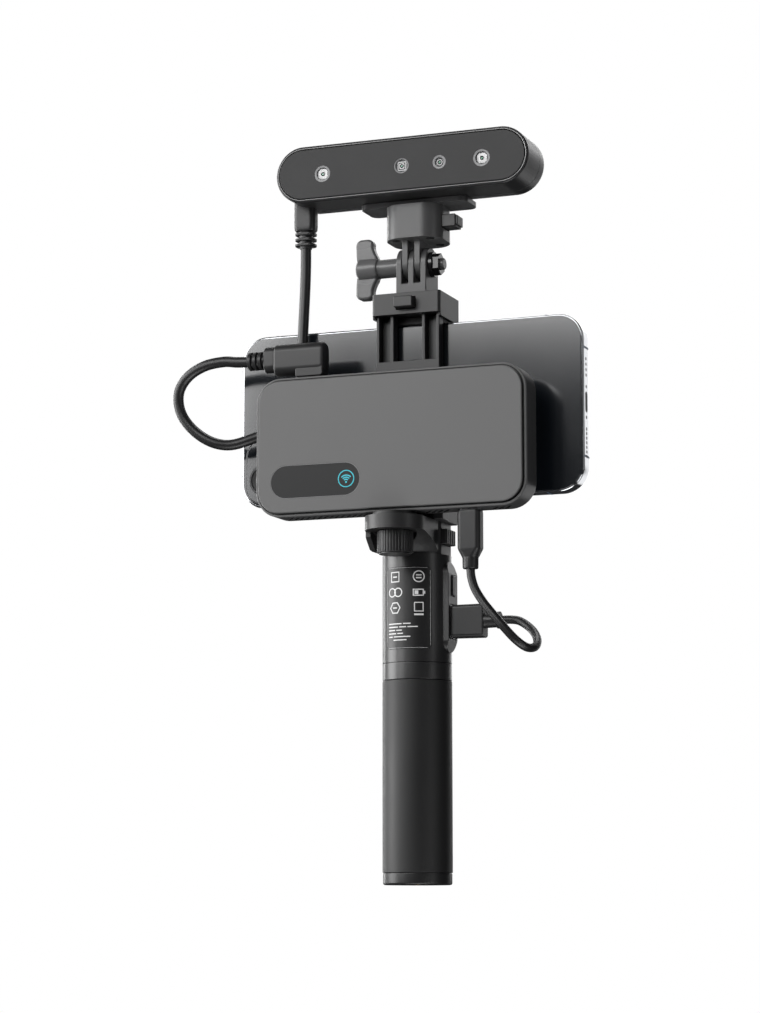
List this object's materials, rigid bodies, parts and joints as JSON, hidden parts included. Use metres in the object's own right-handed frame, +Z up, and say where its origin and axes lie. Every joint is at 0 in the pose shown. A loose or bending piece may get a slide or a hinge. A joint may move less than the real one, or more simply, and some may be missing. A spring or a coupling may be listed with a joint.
{
  "type": "handheld scanner",
  "caption": "Handheld 3-D scanner bar on a tilting joint over a spring phone clamp, with a wireless box, a battery handle and short cables.",
  "frame": {"origin": "mouth of the tripod thread, at the centre of the handle's lower end", "axes": "+Z up the handle, +X to the side that the power inlet is on, the scanner and the box face -Y"},
  "size_m": [0.1711, 0.0507, 0.3015],
  "materials": {
    "grip_rubber": "fine matt rubber",
    "moulded_black": "fine spark texture",
    "satin_grey": "satin soft-touch lacquer",
    "gloss_black": "polished",
    "anodised_grey": "bead-blasted, anodised",
    "polished_steel": "polished",
    "plain_steel": "plated",
    "insert_brass": "machined",
    "dark_glass": "polished glass over a dark coating",
    "lens_glass": "coated",
    "cable_jacket": "smooth matt jacket",
    "icon_cyan": "printed",
    "board_green": "solder mask",
    "cell_wrap": "heat-shrink film",
    "antenna_gold": "plated foil"
  },
  "bodies": {
    "handle": {"end_cap": "moulded_black", "tripod_insert": "insert_brass", "grip_sleeve": "grip_rubber", "grip_core": "moulded_black", "battery_cell": "cell_wrap", "battery_contacts": "plain_steel", "power_board": "board_green", "usb_a_socket": "plain_steel", "collar_ring": "moulded_black", "upper_housing": "moulded_black", "port_panel": "moulded_black", "label_plate": "gloss_black", "bracket_bolt": "plain_steel", "bracket": "satin_grey", "bracket_pad": "grip_rubber", "box_rear_shell": "moulded_black", "box_front_cover": "satin_grey", "box_badge": "gloss_black", "badge_icon": "icon_cyan", "box_board": "board_green", "box_antennas": "antenna_gold", "box_sockets": "plain_steel", "box_screws": "plain_steel", "clamp_body": "satin_grey", "lower_pad": "grip_rubber", "clamp_springs": "plain_steel", "data_cord_lower": "cable_jacket", "angle_plug": "cable_jacket", "power_cord": "cable_jacket", "usb_c_plug": "cable_jacket", "usb_a_plug": "cable_jacket"},
    "power_button": {"power_button": "gloss_black"},
    "thumb_button": {"thumb_button": "moulded_black", "thumb_spring": "plain_steel"},
    "knob": {"box_knob": "moulded_black"},
    "jaw": {"jaw_carriage": "satin_grey", "jaw_cap": "satin_grey", "jaw_pad": "grip_rubber", "finger_hub": "satin_grey", "hub_nut": "satin_grey", "data_cord_upper": "cable_jacket"},
    "jaw_lug": {"jaw_lug": "satin_grey"},
    "wing_bolt": {"wing_bolt": "moulded_black"},
    "head": {"release_block": "satin_grey", "block_screws": "plain_steel", "mount_plate": "moulded_black", "scanner_panel": "gloss_black", "scanner_bezel": "anodised_grey", "scanner_rear_shell": "anodised_grey", "window_rings": "anodised_grey", "window_glasses": "lens_glass", "camera_modules": "gloss_black", "scanner_board": "board_green", "scanner_socket": "plain_steel", "scanner_plug": "cable_jacket"},
    "release_lever": {"release_lever": "moulded_black"},
    "phone": {"phone_frame": "polished_steel", "phone_back": "dark_glass", "phone_screen": "dark_glass", "phone_camera": "dark_glass"}
  },
  "joints": [
    {"name": "jaw_slide", "type": "slide", "parent": "handle", "child": "jaw", "axis": [0, 0, 1], "range_m": [0, 0.012], "stiffness_N_per_m": 250, "springref_m": -0.02, "deforming": ["clamp_springs"]},
    {"name": "head_tilt", "type": "hinge", "parent": "jaw", "child": "head", "pos_m": [0, 0, 0.2516], "axis": [1, 0, 0], "range_deg": [-45, 45], "deforming": ["data_cord_upper"]},
    {"name": "wing_turn", "type": "hinge", "parent": "jaw", "child": "wing_bolt", "pos_m": [-0.02, 0, 0.2516], "axis": [1, 0, 0], "continuous": true},
    {"name": "knob_turn", "type": "hinge", "parent": "handle", "child": "knob", "pos_m": [0, -0.0247, 0.134], "axis": [0, 0, 1], "continuous": true},
    {"name": "thumb_press", "type": "slide", "parent": "handle", "child": "thumb_button", "axis": [-1, 0, 0], "range_m": [0, 0.002], "stiffness_N_per_m": 600, "springref_m": -0.002},
    {"name": "power_press", "type": "slide", "parent": "handle", "child": "power_button", "axis": [-1, 0, 0], "range_m": [0, 0.0007], "stiffness_N_per_m": 900, "springref_m": -0.001},
    {"name": "lug_press", "type": "slide", "parent": "jaw", "child": "jaw_lug", "axis": [0, 1, 0], "range_m": [0, 0.0015], "stiffness_N_per_m": 600, "springref_m": -0.002},
    {"name": "lever_press", "type": "slide", "parent": "head", "child": "release_lever", "axis": [-1, 0, 0], "range_m": [0, 0.002], "stiffness_N_per_m": 600, "springref_m": -0.002},
    {"name": "phone_slide", "type": "slide", "parent": "handle", "child": "phone", "axis": [1, 0, 0], "range_m": [-0.015, 0.015]}
  ]
}
